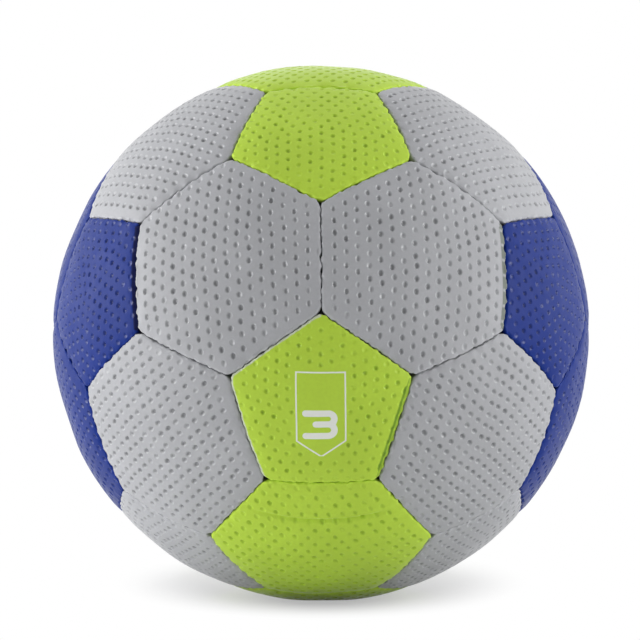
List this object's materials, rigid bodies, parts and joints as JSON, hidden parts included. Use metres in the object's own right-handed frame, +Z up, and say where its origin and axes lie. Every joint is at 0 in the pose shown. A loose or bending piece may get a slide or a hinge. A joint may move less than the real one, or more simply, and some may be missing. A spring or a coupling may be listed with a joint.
{
  "type": "handball",
  "caption": "Hand-sewn handball with dimpled pentagon and hexagon cover panels in grey, lime and blue, over foam pads, linings and a valved bladder.",
  "frame": {"origin": "centre of the ball", "axes": "+Z up, -Y towards the viewer of the picture, +X to the right; the ball is rolled back about X as it lies in the picture"},
  "size_m": [0.1878, 0.1878, 0.1878],
  "materials": {
    "grey_cover": "soft synthetic leather, embossed with small pits, satin",
    "lime_cover": "soft synthetic leather, embossed with small pits, satin",
    "blue_cover": "soft synthetic leather, embossed with small pits, satin",
    "foam": "closed-cell foam sheet",
    "lining": "plain woven cotton",
    "thread": "waxed polyester thread",
    "bladder_rubber": "smooth rubber",
    "valve_rubber": "moulded rubber"
  },
  "bodies": {
    "root": {"bladder": "bladder_rubber", "blue_hexagon_left_lower": "blue_cover", "blue_hexagon_left_upper": "blue_cover", "blue_hexagon_right_lower": "blue_cover", "blue_hexagon_right_upper": "blue_cover", "blue_pentagon_left_back": "blue_cover", "blue_pentagon_left_front": "blue_cover", "blue_pentagon_right_back": "blue_cover", "blue_pentagon_right_front": "blue_cover", "grey_hexagon_back_left": "grey_cover", "grey_hexagon_back_right": "grey_cover", "grey_hexagon_front_left": "grey_cover", "grey_hexagon_front_right": "grey_cover", "grey_hexagon_lower_left_back": "grey_cover", "grey_hexagon_lower_left_front": "grey_cover", "grey_hexagon_lower_right_back": "grey_cover", "grey_hexagon_lower_right_front": "grey_cover", "grey_hexagon_upper_left_back": "grey_cover", "grey_hexagon_upper_left_front": "grey_cover", "grey_hexagon_upper_right_back": "grey_cover", "grey_hexagon_upper_right_front": "grey_cover", "grey_pentagon_lower_left": "grey_cover", "grey_pentagon_lower_right": "grey_cover", "grey_pentagon_upper_left": "grey_cover", "grey_pentagon_upper_right": "grey_cover", "hexagon_foam_pads": "foam", "hexagon_linings": "lining", "lime_hexagon_lower_back": "lime_cover", "lime_hexagon_lower_front": "lime_cover", "lime_hexagon_upper_back": "lime_cover", "lime_hexagon_upper_front": "lime_cover", "lime_pentagon_back_lower": "lime_cover", "lime_pentagon_back_upper": "lime_cover", "lime_pentagon_front_lower": "lime_cover", "lime_pentagon_front_upper": "lime_cover", "pentagon_foam_pads": "foam", "pentagon_linings": "lining", "seam_stitching": "thread", "valve_core": "valve_rubber", "valve_housing": "valve_rubber", "valve_patch": "bladder_rubber"}
  },
  "joints": []
}
